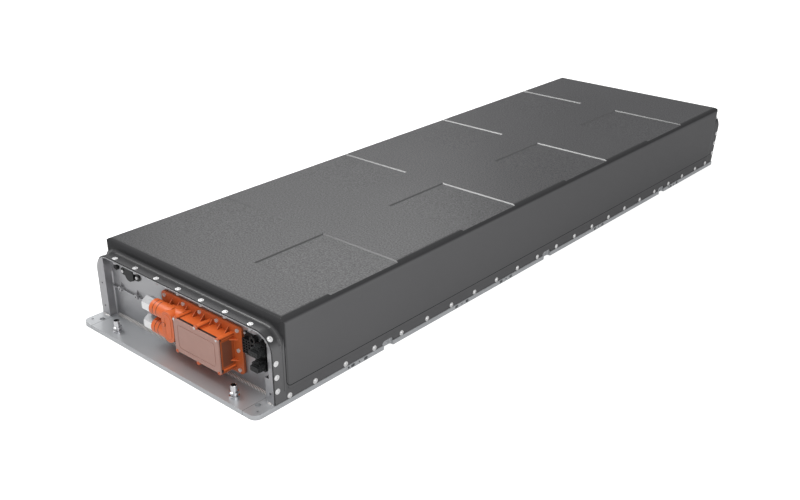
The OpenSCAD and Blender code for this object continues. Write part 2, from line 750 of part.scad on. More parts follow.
module hv_box_body() color("orangered") {
    gusset = 13;
    difference() {
        union() {
            along_y(flange_y, flange_y + hv_flange_t) hv_outline();
            along_y(box_front, flange_y + eps) lid_outline(-4);
            for (p = lid_screws) drill_y(p[0], p[1], 12, box_front, flange_y + eps);
            along_y(cap_front + cap_t, flange_y + eps) cap_outline(0);
            // Cable outlets in three steps, and their run back into the box
            for (z = outlet_z) {
                for (k = [0:2]) translate([outlet_end + k * 14, outlet_y, z]) rotate([0, 90, 0])
                    cylinder(d = outlet_d - k * 1.2, h = cap_x - outlet_end - k * 14);
                translate([cap_x - 20, wall_y0 - 22.5, z]) rotate([0, 90, 0])
                    cylinder(d = outlet_d - 3, h = lid_x - hv_lid_w / 2 + 26 - cap_x);
            }
            for (u = [-0.77, -0.57, -0.35, -0.1, 0.12, 0.35, 0.57, 0.77])
                translate([hv_x + u * flange_dx - 1.2, 0, 0]) along_x(0, 2.4)
                    polygon([[flange_y + eps, hv_z + 40 - 6], [flange_y - gusset, hv_z + 40 - 6],
                        [flange_y - gusset, hv_z + 40], [flange_y + eps, hv_z + 40 + gusset]]);
            for (z = [hv_z - 27, hv_z + 27]) translate([lid_x + hv_lid_w / 2, flange_y, z - 1.2])
                linear_extrude(2.4) polygon([[-8, eps], [-8, -gusset], [-2, -gusset], [gusset, eps]]);
        }
        along_y(cap_front - outlet_d, cap_front + cap_t) cap_outline(1);
        along_y(box_front - eps, flange_y + hv_flange_t + eps) translate([lid_x, lid_z])
            round_rect(cavity_w, cavity_h, 4);
        along_y(cap_front + cap_t - eps, flange_y + hv_flange_t + eps) cap_outline(-2 * box_wall);
        for (z = outlet_z) translate([outlet_end - eps, outlet_y, z]) rotate([0, 90, 0])
            cylinder(d = outlet_bore, h = cap_x - outlet_end + eps);
        for (p = lid_screws) drill_y(p[0], p[1], 4.2, box_front - eps, box_front + 18);
        all_flange_screws() rotate([-90, 0, 0]) translate([0, 0, -eps])
            cylinder(d = 5.4, h = hv_flange_t + 2 * eps);
        // Room for the screw heads beside the outlets
        for (p = flange_screws) drill_y(p[0], p[1], 10.5, box_front - 10, flange_y);
    }
}

module hv_flange_seal() color("black") along_y(flange_y + hv_flange_t, wall_y0) difference() {
    hv_outline();
    translate([hv_x, hv_z]) round_rect(2 * flange_dx - 40, 2 * flange_dz - 26, 10);
    for (p = flange_screws) translate(p) circle(d = 5.4);
}

module hv_lid() color("rosybrown") {
    difference() {
        union() {
            along_y(lid_back - hv_lid_t, lid_back) lid_outline(0);
            for (p = lid_screws) drill_y(p[0], p[1], 12, lid_back - hv_lid_t, lid_back);
        }
        for (p = lid_screws) drill_y(p[0], p[1], 4.4, lid_back - hv_lid_t - eps, lid_back + eps);
        // Inset line of the front face
        along_y(lid_back - hv_lid_t - eps, lid_back - hv_lid_t + 0.8) translate([lid_x, lid_z])
            difference() {
                round_rect(hv_lid_w - 28, hv_lid_h - 24, 10);
                round_rect(hv_lid_w - 32, hv_lid_h - 28, 8);
            }
    }
}

module hv_lid_seal() color("black") along_y(lid_back, box_front) difference() {
    lid_outline(-5);
    translate([lid_x, lid_z]) round_rect(hv_lid_w - 20, hv_lid_h - 20, 4);
    for (p = lid_screws) translate(p) circle(d = 4.4);
}

module hv_flange_screws() color("white") all_flange_screws() cap_screw(5, 12, 9.5);
module hv_lid_screws() color("white") for (p = lid_screws)
    translate([p[0], lid_back - hv_lid_t, p[1]]) cap_screw(3.5, 14, 6);

module hv_terminal_cap() color("coral") {
    difference() {
        union() {
            along_y(cap_front, cap_front + cap_t) cap_outline(0);
            along_y(cap_front - 0.8, cap_front + eps) cap_outline(-18);
            drill_y(cap_x - 13, cap_z + 3.5, 9, cap_front - 2, cap_front + eps);
        }
        along_y(cap_front - 2, cap_front - 0.2) cap_outline(-28);
    }
}

module hv_terminal_block() color("ivory") difference() {
    translate([lid_x - cavity_w / 2 + fit, block_y, stud_z - 12]) cube([cavity_w - 2 * fit, block_t, 24]);
    for (x = contactor_x) drill_y(x, stud_z, 8.2, block_y - eps, block_y + block_t + eps);
}

module hv_studs() color("silver") for (x = contactor_x) {
    drill_y(x, stud_z, 8, block_y - eps, block_y + block_t + 11);
    translate([x, block_y, stud_z]) rotate([90, 0, 0]) cylinder(d = 15, h = 5.3, $fn = 6);
}

module gland_nut(z) translate([outlet_end, outlet_y, z]) rotate([0, -90, 0]) difference() {
    union() {
        intersection() {
            cylinder(d = gland_af / cos(30), h = gland_l, $fn = 6);
            rotate_extrude() polygon([[0, 0], [gland_af * 0.56, 0], [gland_af * 0.58, 1],
                [gland_af * 0.58, gland_l - 2], [gland_af * 0.52, gland_l], [0, gland_l]]);
        }
        translate([0, 0, -12]) cylinder(d = outlet_bore - 2 * fit, h = 12 + eps);
    }
    translate([0, 0, -12 - eps]) cylinder(d = gland_bore, h = gland_l + 12 + 2 * eps);
}

module gland_nut_upper() color("whitesmoke") gland_nut(outlet_z[0]);
module gland_nut_lower() color("whitesmoke") gland_nut(outlet_z[1]);

module gland_seals() color("black") for (z = outlet_z)
    translate([outlet_end + 12, outlet_y, z]) rotate([0, 90, 0]) difference() {
        cylinder(d = outlet_bore - 2 * fit, h = 8);
        translate([0, 0, -eps]) cylinder(d = gland_bore - 3, h = 8 + 2 * eps);
    }

// Fittings on the front wall

module signal_header() color("#222222") {
    difference() {
        union() {
            along_y(wall_y0 - 3, wall_y0) translate([header_x, header_z]) {
                round_rect(header_w - 6, header_h - 2, 4);
                for (s = [-1, 1]) translate([-lug_dx, s * lug_dz]) circle(d = 9);
            }
            along_y(wall_y0 - 12, wall_y0 - 2) translate([header_x - 5, header_z - 2])
                round_rect(header_w - 16, header_h - 20, 3);
            drill_y(header_x + dome_dx, header_z + dome_dz, 20, wall_y0 - 12, wall_y0 - 2);
            along_y(wall_y0 - 3, wall_y1 + 6) translate([header_x, header_z])
                round_rect(header_w - 17, header_h - 19, 3);
        }
        for (i = [-1:1], k = [0:4]) translate([header_x - 5 + i * 9, 0, header_z - 16 + k * 7])
            drill_y(0, 0, 5.6, wall_y0 - 13, wall_y0 - 5);
        drill_y(header_x + dome_dx, header_z + dome_dz, 11, wall_y0 - 13, wall_y0 - 6);
        for (s = [-1, 1])
            drill_y(header_x - lug_dx, header_z + s * lug_dz, 3.2, wall_y0 - 12, wall_y0 + eps);
    }
}

module header_screws() color("white") for (s = [-1, 1])
    translate([header_x - lug_dx, wall_y0 - 3, header_z + s * lug_dz]) cap_screw(3, 8, 5.5);

// Wall socket with a closing cap latched on it
module signal_socket(z) {
    difference() {
        union() {
            along_y(wall_y0 - 3, wall_y0) translate([socket_x, z]) round_rect(36, 30, 3);
            along_y(wall_y0 - 20, wall_y0 - 2) translate([socket_x, z]) round_rect(31, 26, 3);
            along_y(wall_y0 - 3, wall_y1 + 6) translate([socket_x, z]) round_rect(21, 13, 2);
        }
        along_y(wall_y0 - 21, wall_y0 - 8) translate([socket_x, z]) round_rect(24, 18, 2);
    }
}

// Closing cap in three steps, with grip grooves round its front and a latch on top
module signal_cap(z) {
    y0 = wall_y0 - 42;
    y1 = wall_y0 - 20;
    difference() {
        union() {
            along_y(y0, y1) translate([socket_x, z - 1]) round_rect(26, 13, 2);
            along_y(y0 + 7, y1) translate([socket_x, z + 1.5]) round_rect(28, 19, 2.5);
            along_y(y0 + 9, y1) translate([socket_x, z + 11]) round_rect(15, 7, 1.5);
            along_y(y0 + 13, y0 + 17) translate([socket_x, z + 13]) round_rect(19, 6, 1.5);
            along_y(y1 - eps, wall_y0 - 9) translate([socket_x, z]) round_rect(23.4, 17.4, 2);
        }
        for (k = [-1, 0, 1]) translate([socket_x - 15, y0 - eps, z - 1 + k * 3.6 - 0.6])
            cube([30, 1.4, 1.2]);
        for (s = [-1, 1], k = [0:2]) translate([socket_x + s * 14 - 0.8, y0 + 10 + k * 4, z - 5])
            cube([1.6, 1.4, 12]);
    }
}

module signal_socket_upper() color("#222222") signal_socket(socket_z[0]);
module signal_socket_lower() color("#222222") signal_socket(socket_z[1]);
module signal_cap_upper() color("#2c2c2c") signal_cap(socket_z[0]);
module signal_cap_lower() color("#2c2c2c") signal_cap(socket_z[1]);

module vent_valve_body() color("#222222") difference() {
    union() {
        along_y(wall_y0 - 3, wall_y0) translate([valve_x, valve_z]) {
            circle(d = valve_d + 1);
            stadium(valve_pitch + 20, 20);
        }
        drill_y(valve_x, valve_z, 21.6, wall_y0 - eps, wall_y1 + 4);
    }
    drill_y(valve_x, valve_z, 14, wall_y0 - 5, wall_y1 + 5);
    for (s = [-1, 1]) drill_y(valve_x + s * valve_pitch / 2, valve_z, 4.4, wall_y0 - 5, wall_y0 + eps);
}

module vent_valve_disc() color("#4a4a4a") {
    drill_y(valve_x, valve_z, valve_d, wall_y0 - 7, wall_y0 - 4);
    for (a = [0:90:270]) translate([valve_x, 0, valve_z]) rotate([0, a, 0])
        drill_y(13, 0, 4, wall_y0 - 5, wall_y0 - 3);
}

module vent_valve_screws() color("white") for (s = [-1, 1])
    translate([valve_x + s * valve_pitch / 2, wall_y0 - 3, valve_z]) cap_screw(4, 9, 8);

module blanking_plug() color("#222222") {
    drill_y(plug_x, plug_z, plug_d, wall_y0 - 4, wall_y0);
    drill_y(plug_x, plug_z, plug_d - 6, wall_y0 - 6, wall_y0 - 3);
    drill_y(plug_x, plug_z, 12, wall_y0 - eps, wall_y1 + 3);
}

// Cell modules

function side_of(i) = i % 2 == 0 ? 1 : -1;

module at_modules() for (i = [0:modules - 1]) translate([0, module_y[i], 0]) children();
module at_cells() for (k = [0:cells - 1]) translate([(k + 0.5) * cell_t - row_w / 2, 0, 0]) children();

module cells_pack() color("steelblue") at_modules() at_cells() {
    translate([0, 0, cell_z]) linear_extrude(cell_h) round_rect(cell_t - 0.4, cell_l - 0.4, 4);
    for (s = [-1, 1]) translate([0, s * pole_dy, cell_top - eps]) cylinder(d = pole_d, h = pole_h + eps);
    translate([0, 0, cell_top - eps]) linear_extrude(1 + eps) stadium(24, 14);
}

module thermal_pads() color("plum") at_modules() translate([-row_w / 2, -cell_l / 2 + 2, plate_t])
    cube([row_w, cell_l - 4, thermal_t]);

module end_plate() difference() {
    along_y(-cell_l / 2, cell_l / 2) polygon([[row_w / 2, plate_t], [foot_out, plate_t],
        [foot_out, plate_t + foot_h], [end_plate_out, plate_t + foot_h], [end_plate_out, end_plate_top],
        [row_w / 2, end_plate_top]]);
    for (t = [-1, 1]) translate([bolt_x, t * bolt_dy, 0])
        cylinder(d = bolt_d + 0.8, h = plate_t + foot_h + eps);
    // Lightening pockets in the outer face
    for (t = [-1, 0, 1]) translate([end_plate_out - 6, t * 66 - 24, plate_t + 50])
        cube([7, 48, cell_h - 80]);
}

module module_end_plates() color("silver") at_modules() {
    end_plate();
    mirror([1, 0, 0]) end_plate();
}

module module_side_plates() color("gainsboro") at_modules() for (s = [-1, 1])
    translate([-end_plate_out, s * (cell_l / 2 + 1) - 1, plate_t + foot_h])
        cube([2 * end_plate_out, 2, cell_h - 20]);

module cell_links() color("peru") for (i = [0:modules - 1]) translate([0, module_y[i], cell_top + pole_h])
    for (k = [0:cells - 2]) translate([side_of(i) * ((k + 1) * cell_t - row_w / 2), side_of(k) * pole_dy, 0])
        linear_extrude(link_t) stadium(cell_t + 22, 20);

// A strap that steps over the lids from one module's last pole to the next one's first
module strap_profile(y0, y1, low, high) {
    polygon([[y0 - 10, low], [y0 + 14, low], [y0 + 14, high - link_t], [y1 - 14, high - link_t],
        [y1 - 14, low], [y1 + 10, low], [y1 + 10, low + link_t], [y1 - 14 + link_t, low + link_t],
        [y1 - 14 + link_t, high], [y0 + 14 - link_t, high], [y0 + 14 - link_t, low + link_t],
        [y0 - 10, low + link_t]]);
}

module module_links() color("peru") for (i = [0:modules - 2]) {
    x = side_of(i) * (row_w - cell_t) / 2;
    along_x(x - 10, x + 10)
        strap_profile(module_y[i] - pole_dy, module_y[i + 1] - pole_dy, cell_top + pole_h, link_top + 8);
}

module module_lids() color("#303538") at_modules() translate([0, 0, end_plate_top]) difference() {
    translate([-end_plate_out, -cell_l / 2, 0]) cube([2 * end_plate_out, cell_l, 2]);
    for (s = [-1, 1]) translate([s * (row_w - cell_t) / 2, -pole_dy, -eps]) linear_extrude(4)
        round_rect(26, 44, 4);
}

module module_bolts() color("white") at_modules() for (s = [-1, 1], t = [-1, 1])
    translate([s * bolt_x, t * bolt_dy, plate_t + foot_h]) {
        cylinder(d = 13, h = 7);
        translate([0, 0, -foot_h - 7]) cylinder(d = bolt_d, h = foot_h + 8);
    }

// Electronics in the bay

module electronics_tray() color("#404040") difference() {
    translate([-tray_half, bay_y0, plate_t]) cube([2 * tray_half, bay_l, tray_t]);
    for (s = [-1, 1]) translate([s * (tray_half - 5), (bay_y0 + bay_y1) / 2, 0]) cylinder(d = 6, h = 40);
}

module contactors() color("#2a2a2a") for (x = contactor_x) translate([x, contactor_y, tray_top]) {
    linear_extrude(contactor_h - 12) round_rect(52, 60, 6);
    linear_extrude(contactor_h) round_rect(40, 52, 4);
    for (s = [-1, 1]) translate([0, s * pole_in, 0]) cylinder(d = 14, h = contactor_h + 4);
}

// Fuse lying across the bay, its blades on two posts
module main_fuse() color("whitesmoke") translate([0, contactor_y, 0]) {
    for (x = fuse_x) {
        translate([x - 10, -13, tray_top]) cube([20, 26, fuse_z - 2 - tray_top]);
        translate([x - 12, -12, fuse_z - 2]) cube([24, 24, 4]);
    }
    translate([fuse_x[0] + 18, 0, fuse_z]) rotate([0, 90, 0]) cylinder(d = 36, h = 64);
    translate([fuse_x[0] + 11, -9, fuse_z - 2]) cube([78, 18, 4]);
}

module current_sensor() color("darkgreen") translate([sensor_x, contactor_y, tray_top]) difference() {
    translate([-sensor_w / 2, -26, 0]) cube([sensor_w, 52, 60]);
    translate([-sensor_w, -16, fuse_z - tray_top]) cube([2 * sensor_w, 32, 10]);
}

module management_unit() color("darkgray") translate([unit_x, contactor_y, tray_top]) {
    linear_extrude(40) round_rect(unit_w, 82, 4);
    translate([-45, -44, 8]) cube([90, 10, 22]);
}

// Bars from the contactors' front poles down to the studs in the box
module front_busbars() color("peru") for (x = contactor_x) difference() {
    y0 = block_y + block_t;
    along_x(x - bar_w / 2, x + bar_w / 2) polygon([[y0, stud_z - 10], [y0 + bar_t, stud_z - 10],
        [y0 + bar_t, bar_z], [contactor_y - pole_in + 7, bar_z], [contactor_y - pole_in + 7, bar_z + bar_t],
        [y0, bar_z + bar_t]]);
    drill_y(x, stud_z, 8.4, y0 - eps, y0 + bar_t + eps);
}

// Steps from a module pole up over the lids, forward, and down into the bay to height z
module pole_lead(x, y, z) along_x(x - 10, x + 10) polygon([[y + 10, cell_top + pole_h],
    [y + 10, link_top], [y - 10, link_top], [y - 10, over_z + bar_t], [lead_y - bar_t, over_z + bar_t],
    [lead_y - bar_t, z + bar_t], [contactor_y + 8, z + bar_t], [contactor_y + 8, z], [lead_y, z],
    [lead_y, over_z], [y - 10 - link_t, over_z], [y - 10 - link_t, cell_top + pole_h]]);

module module_busbars() color("peru") {
    first = module_y[0] - pole_dy;
    last = module_y[modules - 1] - pole_dy;
    pole_lead(-lead_x, first, fuse_z + 2);
    // From the fuse through the sensor's window to the first contactor
    along_y(contactor_y - 12, contactor_y + 12) polygon([[fuse_x[1] - 12, fuse_z + 2], [step_x, fuse_z + 2],
        [step_x, bar_z], [contactor_x[0] - 15, bar_z], [contactor_x[0] - 15, bar_z + bar_t],
        [step_x - bar_t, bar_z + bar_t], [step_x - bar_t, fuse_z + 2 + bar_t],
        [fuse_x[1] - 12, fuse_z + 2 + bar_t]]);
    translate([contactor_x[0] - 16, contactor_y, bar_z]) cube([28, pole_in + 7, bar_t]);
    // Return bar from the last module over all the lids to the second contactor
    x0 = side_of(modules - 1) * lead_x;
    x1 = contactor_x[1];
    translate([x0 - 10, last - 10, cell_top + pole_h]) cube([20, 20, over_z - cell_top - pole_h + eps]);
    translate([min(x0, x1) - 10, last - 10, over_z]) cube([abs(x1 - x0) + 20, 20, bar_t]);
    translate([x1 - 10, lead_y - bar_t, over_z]) cube([20, last + 10 - lead_y + bar_t, bar_t]);
    translate([x1 - 10, lead_y - bar_t, bar_z]) cube([20, bar_t, over_z - bar_z + bar_t]);
    translate([x1 - 10, contactor_y + pole_in - 7, bar_z])
        cube([20, lead_y - contactor_y - pole_in + 7, bar_t]);
}

cold_plate();
channel_sheet();
side_rail_left();
side_rail_right();
front_end_frame();
rear_end_frame();
top_cover();
cover_seal();
cover_screws();
weld_seams();
coolant_port_left();
coolant_port_right();
port_seals();
hv_box_body();
hv_flange_seal();
hv_lid();
hv_lid_seal();
hv_flange_screws();
hv_lid_screws();
hv_terminal_cap();
hv_terminal_block();
hv_studs();
gland_nut_upper();
gland_nut_lower();
gland_seals();
signal_header();
header_screws();
signal_socket_upper();
signal_socket_lower();
signal_cap_upper();
signal_cap_lower();
vent_valve_body();
vent_valve_disc();
vent_valve_screws();
blanking_plug();
cells_pack();
thermal_pads();
module_end_plates();
module_side_plates();
cell_links();
module_links();
module_lids();
module_bolts();
electronics_tray();
contactors();
main_fuse();
current_sensor();
management_unit();
front_busbars();
module_busbars();
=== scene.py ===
# Traction battery: finishes, weld ripples, floor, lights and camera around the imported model.
import json
import math

import bpy
from mathutils import Matrix, Vector


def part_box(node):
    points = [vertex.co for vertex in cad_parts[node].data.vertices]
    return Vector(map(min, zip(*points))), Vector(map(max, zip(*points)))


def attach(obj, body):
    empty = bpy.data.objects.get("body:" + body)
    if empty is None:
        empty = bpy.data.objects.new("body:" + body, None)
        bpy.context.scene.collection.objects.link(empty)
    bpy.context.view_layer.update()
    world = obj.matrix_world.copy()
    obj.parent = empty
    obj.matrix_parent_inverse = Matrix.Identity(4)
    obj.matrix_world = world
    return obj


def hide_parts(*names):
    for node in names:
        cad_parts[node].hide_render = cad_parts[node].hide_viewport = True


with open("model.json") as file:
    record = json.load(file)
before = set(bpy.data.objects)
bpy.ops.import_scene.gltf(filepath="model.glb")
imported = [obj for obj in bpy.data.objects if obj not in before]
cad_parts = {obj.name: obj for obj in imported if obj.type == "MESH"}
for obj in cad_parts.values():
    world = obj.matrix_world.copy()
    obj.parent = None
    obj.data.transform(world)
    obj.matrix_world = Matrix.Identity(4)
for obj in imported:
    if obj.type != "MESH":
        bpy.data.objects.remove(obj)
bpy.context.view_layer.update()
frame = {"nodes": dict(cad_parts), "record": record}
nodes = frame["nodes"]

MM = 0.001

# Camera, as the photograph was taken
CAMERA_PLACE = Vector((1.78599, -2.272406, 1.24428))
AZIMUTH, ELEVATION, ROLL = 41.682, 24.56, -0.281
SENSOR_WIDTH = 36.0
LENS = 44.57

# How far a painted patch ends short of its edge or runs past it
MARGIN = 0.3 * MM

# Cover: its front band, the flanks of its pads and the dark line of painted shade round its side panels
BAND_DEPTH = 32.5 * MM
FLANK_DEPTH = 3.1 * MM
PANEL_INSET, PANEL_FOOT, PANEL_RADIUS = 4 * MM, 45 * MM, 12 * MM
PANEL_LINE = 0.9 * MM

# Base plate: its joints with the side rails, from the middle
RAIL_JOINT, RAIL_JOINT_LINE = 297 * MM, 0.5 * MM

# High-voltage box: flange, rings of painted shade on the cable outlets, lid with the painted shade of the
# gap round it, painted shade of a recess in the side
FLANGE_THICKNESS, FLANGE_ROUNDING = 5 * MM, 1 * MM
OUTLET_INSET, OUTLET_RING_STEP, OUTLET_FOOT = 7 * MM, 14 * MM, 3 * MM
LID_HALF_HEIGHT = 44.3 * MM
GAP_SHADE_INSET, GAP_SHADE_DEPTH, GAP_SHADE_DEPTH_ON_TOP = 3 * MM, 3 * MM, 8 * MM
RECESS_INSET, RECESS_HALF_DEPTH, RECESS_HALF_HEIGHT = 8 * MM, 14 * MM, 32 * MM

# Cap of the box: the painted shade round its button, measured from the middle, and in its oval grooves,
# from the edge
BUTTON_LEFT, BUTTON_UP = 13 * MM, 3.5 * MM
BUTTON_RADIUS, BUTTON_LINE = 5.2 * MM, 0.7 * MM
OUTER_GROOVE, INNER_GROOVE, GROOVE_LINE = 3.4 * MM, 7.5 * MM, 0.4 * MM
CAP_FACE_DEPTH = 4 * MM

# End frames
POST_WIDE, POST_FOOT = 33 * MM, 25 * MM
CORNER = 4 * MM
WALL_THICKNESS = 8 * MM
REAR_RECESS = 23 * MM
REAR_LEAN = math.radians(12)

# Weld beads: legs of the fillets, their ends, and the ripples on them
WALL_BEAD, FOOT_BEAD = 6.5 * MM, 3 * MM
REAR_BEAD_END, FOOT_BEAD_END = 2 * MM, 3 * MM
BEAD_ARC = 10
BEAD_TIP = 0.08
RIPPLE_PITCH = 5 * MM
RIPPLE_RISE = 0.78
RIPPLE_DEPTH = 0.20
RIPPLE_LAG = 0.5
RIPPLE_STEPS = 8

# Rays that find an edge or a hole, and the depth of the grain of moulded plastic
EDGE_SAMPLES = 6
PLASTIC_GRAIN = 0.05 * MM

# Point that the lamps face, in the middle of the battery
LAMP_AIM = Vector((0, 0, 0.1))

# Floor: its half width, its colour and the glow that the camera and mirroring surfaces see on it
FLOOR_HALF = 60.0
FLOOR_COLOUR = (0.62, 0.62, 0.62, 1)
FLOOR_GLOW, FLOOR_GLOW_MIRRORED = (0.76, 0.76, 0.76, 1), (0.2, 0.2, 0.2, 1)
BLACK, WHITE = (0, 0, 0, 1), (1, 1, 1, 1)

# Places on the battery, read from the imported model
plate_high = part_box("cold_plate")[1]
plate_top = plate_high.z
frame_low, frame_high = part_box("front_end_frame")
cover_low, cover_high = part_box("top_cover")
raised_front = cover_low.y + BAND_DEPTH
lid_low, lid_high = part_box("hv_lid")
lid_middle = (lid_low.z + lid_high.z) / 2
cap_low, cap_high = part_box("hv_terminal_cap")
gasket_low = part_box("hv_flange_seal")[0]
flange_front = gasket_low.y - FLANGE_THICKNESS
outlet_start = gasket_low.x + OUTLET_INSET


def rgb(code):
    """Linear colour of a hexadecimal screen colour."""
    parts = [int(code[i:i + 2], 16) / 255 for i in (0, 2, 4)]
    return tuple(c / 12.92 if c <= 0.04045 else ((c + 0.055) / 1.055) ** 2.4 for c in parts) + (1.0,)


# Shader building

class Value:
    """A shader socket that takes part in arithmetic; each operator adds one Math node."""

    def __init__(self, tree, socket):
        self.tree = tree
        self.socket = socket

    def math(self, operation, *values):
        return self.tree.add("ShaderNodeMath", {"operation": operation}, dict(enumerate(values)))

    def __add__(self, other):
        return self.math("ADD", self, other)

    def __sub__(self, other):
        return self.math("SUBTRACT", self, other)

    def __rsub__(self, other):
        return self.math("SUBTRACT", other, self)

    def __mul__(self, other):
        return self.math("MULTIPLY", self, other)

    __radd__ = __add__
    __rmul__ = __mul__

    def above(self, level):
        return self.math("GREATER_THAN", self, level)

    def below(self, level):
        return self.math("LESS_THAN", self, level)

    def size(self):
        """The value without its sign."""
        return self.math("ABSOLUTE", self)

    def near(self, level, reach):
        """1 within reach of the level, 0 beyond."""
        return (self - level).size().below(reach)

    def fraction(self):
        return self.math("FRACT", self)

    def at_least(self, level):
        return self.math("MAXIMUM", self, level)

    def root(self):
        return self.math("SQRT", self)

    def sine(self):
        return self.math("SINE", self)

    def spread(self, low, high):
        """0 below low, 1 above high and a smooth step between."""
        return self.tree.add("ShaderNodeMapRange", {"interpolation_type": "SMOOTHSTEP"},
                             {0: self, 1: low, 2: high})


def length_of(first, second):
    """Length of a slant with these two legs."""
    return (first * first + second * second).root()


class Tree:
    """A node tree with one way to add a node."""

    def __init__(self, node_tree):
        self.nodes = node_tree.nodes
        self.links = node_tree.links

    def add(self, kind, settings=None, inputs=None, output=0):
        node = self.nodes.new(kind)
        for key, value in (settings or {}).items():
            if key == "stops":
                self.set_stops(node.color_ramp, value)
            else:
                setattr(node, key, value)
        for key, value in (inputs or {}).items():
            self.feed(node.inputs[key], value)
        return Value(self, node.outputs[output])

    def feed(self, socket, value):
        if isinstance(value, Value):
            self.links.new(value.socket, socket)
        else:
            socket.default_value = value

    @staticmethod
    def set_stops(ramp, stops):
        while len(ramp.elements) < len(stops):
            ramp.elements.new(1.0)
        for element, (position, colour) in zip(ramp.elements, stops):
            element.position = position
            element.color = colour

    def mix(self, factor, first, second):
        """Colour between first, at factor 0, and second, at factor 1."""
        return self.add("ShaderNodeMix", {"data_type": "RGBA"}, {0: factor, 6: first, 7: second}, 2)


class Finish(Tree):
    """One material on a Principled shader, with textures in the battery's own metres."""

    def __init__(self, name, **fixed):
        self.material = bpy.data.materials.new(name)
        self.material.use_nodes = True
        super().__init__(self.material.node_tree)
        self.shader = self.nodes["Principled BSDF"]
        self.place = self.add("ShaderNodeTexCoord", output="Object")
        self.relief = None
        self.set(**fixed)

    def set(self, **values):
        for key, value in values.items():
            self.feed(self.shader.inputs[key.replace("_", " ").title().replace("Ior", "IOR")], value)

    def stretched(self, x, y, z):
        """Coordinates drawn out, so that a texture on them runs as streaks."""
        return self.add("ShaderNodeVectorMath", {"operation": "MULTIPLY"}, {0: self.place, 1: (x, y, z)})

    def noise(self, scale, detail=2.0, roughness=0.5, at=None):
        return self.add("ShaderNodeTexNoise", None, {
            "Vector": at or self.place, "Scale": scale, "Detail": detail, "Roughness": roughness})

    def cells(self, scale):
        return self.add("ShaderNodeTexVoronoi", None, {"Vector": self.place, "Scale": scale})

    def rounded(self, radius):
        """Softens every edge of the surface by that radius."""
        self.relief = self.add("ShaderNodeBevel", {"samples": EDGE_SAMPLES}, {"Radius": radius})

    def bump(self, height, depth, strength=1.0):
        inputs = {"Height": height, "Distance": depth, "Strength": strength}
        if self.relief:
            inputs["Normal"] = self.relief
        self.relief = self.add("ShaderNodeBump", None, inputs)

    def facing(self, axis):
        """1 where the surface looks along that axis, either way, and 0 where it lies along it."""
        normal = self.add("ShaderNodeNewGeometry", output="Normal")
        return self.add("ShaderNodeSeparateXYZ", None, {0: normal}, axis).size()

    def along(self, axis):
        """Distance along X, Y or Z in metres."""
        return self.add("ShaderNodeSeparateXYZ", None, {0: self.place}, axis)

    def hollow(self, reach):
        """1 deep in holes and narrow gaps, 0 in the open; it marks where shade is painted."""
        daylight = self.add("ShaderNodeAmbientOcclusion", {"samples": EDGE_SAMPLES},
                            {"Distance": reach}, "AO")
        return 1 - daylight.spread(0.14, 0.50)

    def edges(self, radius):
        """1 along edges and in corners, 0 on open surfaces."""
        bent = self.add("ShaderNodeBevel", {"samples": EDGE_SAMPLES}, {"Radius": radius})
        normal = self.add("ShaderNodeNewGeometry", output="Normal")
        along = self.add("ShaderNodeVectorMath", {"operation": "DOT_PRODUCT"},
                         {0: bent, 1: normal}, "Value")
        return (1 - along).spread(0.01, 0.2)

    def done(self):
        if self.relief:
            self.set(normal=self.relief)
        return self.material


# Finishes

def cover_coating():
    """Grey coating: grained and half glossy on top, smooth on the band, matt on the sides."""
    f = Finish("cover_coating", ior=1.14, coat_ior=1.75, coat_roughness=0.30)
    cloud = f.noise(3.5, 3.0)
    grain = f.noise(240, 3.0, 0.65)
    fine = f.noise(900, 1.0)
    y, z = f.along("Y"), f.along("Z")
    up, ahead = f.facing("Z"), f.facing("Y")
    top = up.spread(0.93, 0.995)
    side = f.facing("X").spread(0.80, 0.97)
    band = y.below(raised_front - MARGIN)
    # The polished flanks of the pads and the hollow fillet behind the front band
    flank = z.above(cover_high.z - FLANK_DEPTH) * up.below(0.76)
    fillet = band * ahead.spread(0.45, 0.60) * (1 - ahead.spread(0.82, 0.95))
    # Painted shade of the raised panel's edge: a dark line on the sides round the panel
    past_front = (raised_front + PANEL_INSET + PANEL_RADIUS - y).at_least(0.0)
    past_foot = (PANEL_FOOT + PANEL_RADIUS - z).at_least(0.0)
    panel_edge_shade = length_of(past_front, past_foot).near(PANEL_RADIUS, PANEL_LINE) * side
    # Painted light and shade: tones of the front, the sides and the top, each from dark to light, the
    # sides painted lighter than the front and the top
    pits = (grain - 0.5) * top
    dark = f.mix(top, f.mix(side, rgb("3a3a3b"), rgb("5d5d5e")), rgb("3a3a3b"))
    light = f.mix(top, f.mix(side, rgb("3a3a3b"), rgb("646465")), rgb("484849"))
    tone = f.mix(cloud * 0.6 + 0.2 + pits * 2.5, dark, light)
    # Edges painted lighter: partly rubbed wear, partly a painted highlight
    rubbed_and_highlit_edges = f.edges(1.5 * MM) * (0.10 + 0.20 * cloud)
    f.set(base_color=f.mix(panel_edge_shade, f.mix(rubbed_and_highlit_edges, tone, rgb("626263")), rgb("161617")),
          roughness=0.40 + 0.10 * fine,
          coat_weight=flank + fillet * 0.45 + band * 0.30 + top * (1 - band) * (0.30 + 1.1 * pits))
    f.rounded(0.6 * MM)
    f.bump(grain * (0.08 + 0.92 * top), 0.6 * MM, 0.8)
    return f.done()


def milled_aluminium():
    """Aluminium plate with milling streaks, painted shade in its holes, and dark along the joints of the
    rails.
    """
    f = Finish("milled_aluminium", metallic=0.68)
    streaks = f.noise(160, 2.0, 0.6, f.stretched(1.0, 0.02, 1.0))
    cloud = f.noise(6, 3.0)
    joint = f.along("X").size().near(RAIL_JOINT, RAIL_JOINT_LINE)
    tone = f.mix(cloud, rgb("b4b6b9"), rgb("c4c6c8"))
    # Painted shade in the holes, joined with the dark joints of the rails
    dark = f.hollow(4 * MM).at_least(joint * 0.8)
    f.set(base_color=f.mix(dark, tone, rgb("1c1c1d")), roughness=0.30 + 0.10 * streaks + 0.06 * cloud)
    f.rounded(0.4 * MM)
    f.bump(streaks, 0.05 * MM, 0.5)
    return f.done()


